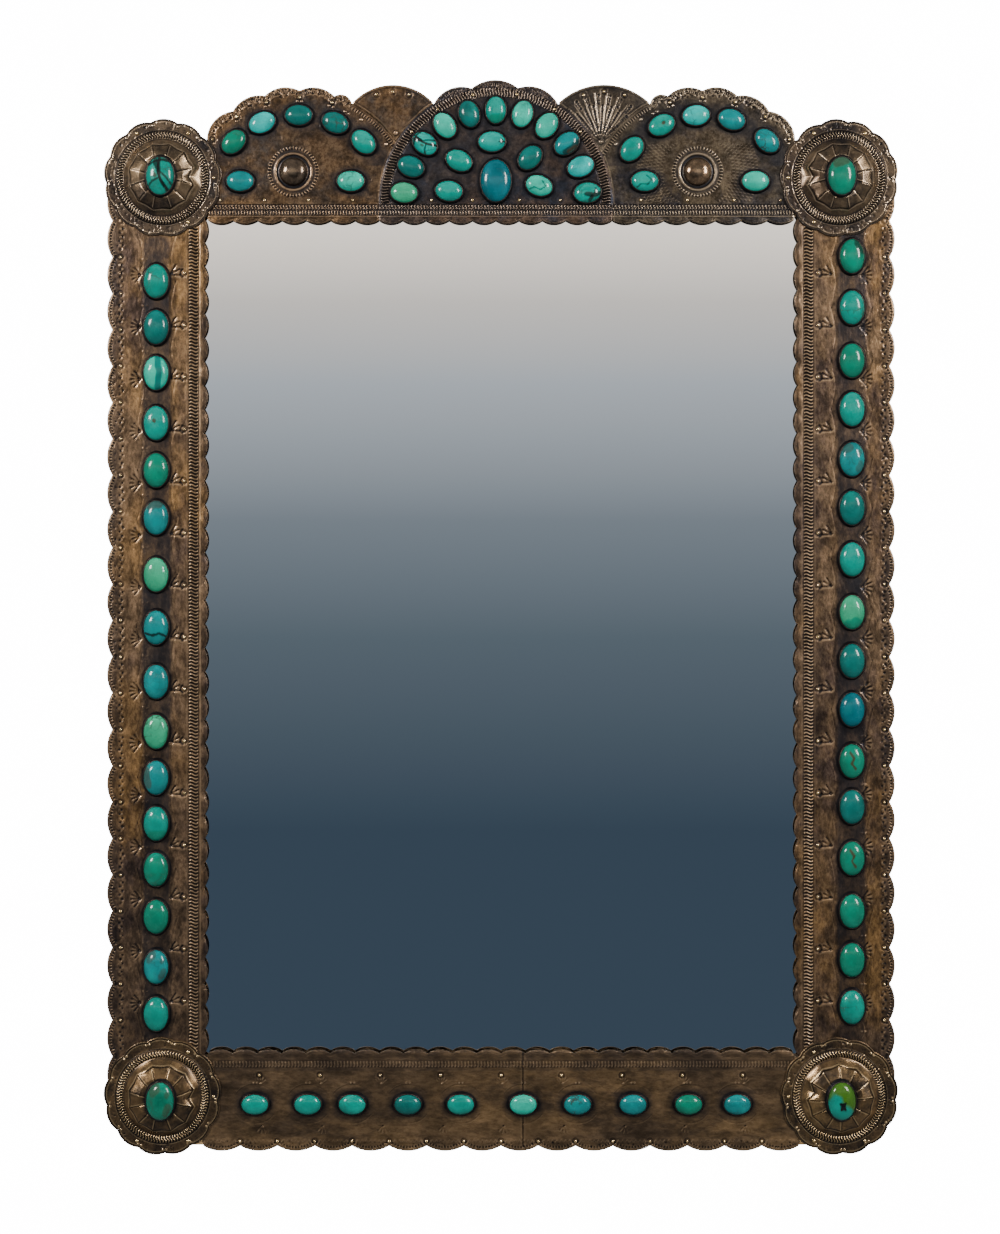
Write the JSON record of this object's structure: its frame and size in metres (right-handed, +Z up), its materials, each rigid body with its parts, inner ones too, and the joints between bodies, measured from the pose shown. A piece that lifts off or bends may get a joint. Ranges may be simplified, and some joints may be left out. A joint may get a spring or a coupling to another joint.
{
  "type": "wall mirror",
  "caption": "Upright rectangular wall mirror in a wooden frame dressed in stamped silver sheet, with turquoise cabochons, corner conchos and an arched crest.",
  "frame": {"origin": "on the back of the top rail, at mid-width, level with the points that the two rings hang from", "axes": "+X to the viewer's right, +Y from the viewer into the wall, +Z up"},
  "size_m": [0.568, 0.0388, 0.7716],
  "materials": {
    "frame_wood": "raw, aged softwood",
    "mirror": "polished, silvered behind",
    "card": "grey-brown card",
    "board": "thin plywood, raw",
    "silver_sheet": "stamped silver with a dark brown-grey patina",
    "concho_silver": "stamped silver, brighter on the raised parts",
    "bezel_silver": "burnished silver strip, dark in the corners",
    "turquoise": "polished turquoise with brown and black matrix",
    "pin_steel": "dull, tarnished",
    "hardware_steel": "zinc plated, dull",
    "button_brass": "aged brass",
    "bumper_rubber": "matt black"
  },
  "bodies": {
    "mirror": {"backing_board": "board", "bottom_bezels": "bezel_silver", "bottom_pins": "pin_steel", "bottom_rail": "frame_wood", "bottom_sheet": "silver_sheet", "bottom_stones": "turquoise", "concho_bezels": "bezel_silver", "concho_bottom_left": "concho_silver", "concho_bottom_right": "concho_silver", "concho_pins": "pin_steel", "concho_stones": "turquoise", "concho_top_left": "concho_silver", "concho_top_right": "concho_silver", "crest_centre_bezel": "bezel_silver", "crest_centre_stone": "turquoise", "crest_left_bezels": "bezel_silver", "crest_left_boss": "concho_silver", "crest_left_fan": "silver_sheet", "crest_left_sheet": "silver_sheet", "crest_left_stones": "turquoise", "crest_middle_bezels": "bezel_silver", "crest_middle_sheet": "silver_sheet", "crest_middle_stones": "turquoise", "crest_pins": "pin_steel", "crest_right_bezels": "bezel_silver", "crest_right_boss": "concho_silver", "crest_right_fan": "silver_sheet", "crest_right_sheet": "silver_sheet", "crest_right_stones": "turquoise", "hanger_screws": "hardware_steel", "left_hanger_strap": "hardware_steel", "left_side_bezels": "bezel_silver", "left_side_pins": "pin_steel", "left_side_sheet": "silver_sheet", "left_side_stones": "turquoise", "left_stile": "frame_wood", "mirror_glass": "mirror", "packing_sheet": "card", "right_hanger_strap": "hardware_steel", "right_side_bezels": "bezel_silver", "right_side_pins": "pin_steel", "right_side_sheet": "silver_sheet", "right_side_stones": "turquoise", "right_stile": "frame_wood", "top_rail": "frame_wood", "turn_button_screws": "hardware_steel", "wall_bumpers": "bumper_rubber"},
    "left_ring": {"left_hanger_ring": "hardware_steel"},
    "right_ring": {"right_hanger_ring": "hardware_steel"},
    "top_left_button": {"turn_button_top_left": "button_brass"},
    "top_right_button": {"turn_button_top_right": "button_brass"},
    "bottom_left_button": {"turn_button_bottom_left": "button_brass"},
    "bottom_right_button": {"turn_button_bottom_right": "button_brass"}
  },
  "joints": [
    {"name": "left_ring_swing", "type": "hinge", "parent": "mirror", "child": "left_ring", "pos_m": [-0.247, 0.0032, -0.0105], "axis": [1, 0, 0], "range_deg": [0, 180]},
    {"name": "right_ring_swing", "type": "hinge", "parent": "mirror", "child": "right_ring", "pos_m": [0.247, 0.0032, -0.0105], "axis": [1, 0, 0], "range_deg": [0, 180]},
    {"name": "top_left_button_turn", "type": "hinge", "parent": "mirror", "child": "top_left_button", "pos_m": [-0.236, 0.00085, -0.15], "axis": [0, 1, 0], "continuous": true},
    {"name": "top_right_button_turn", "type": "hinge", "parent": "mirror", "child": "top_right_button", "pos_m": [0.236, 0.00085, -0.15], "axis": [0, 1, 0], "continuous": true},
    {"name": "bottom_left_button_turn", "type": "hinge", "parent": "mirror", "child": "bottom_left_button", "pos_m": [-0.236, 0.00085, -0.48], "axis": [0, 1, 0], "continuous": true},
    {"name": "bottom_right_button_turn", "type": "hinge", "parent": "mirror", "child": "bottom_right_button", "pos_m": [0.236, 0.00085, -0.48], "axis": [0, 1, 0], "continuous": true}
  ]
}
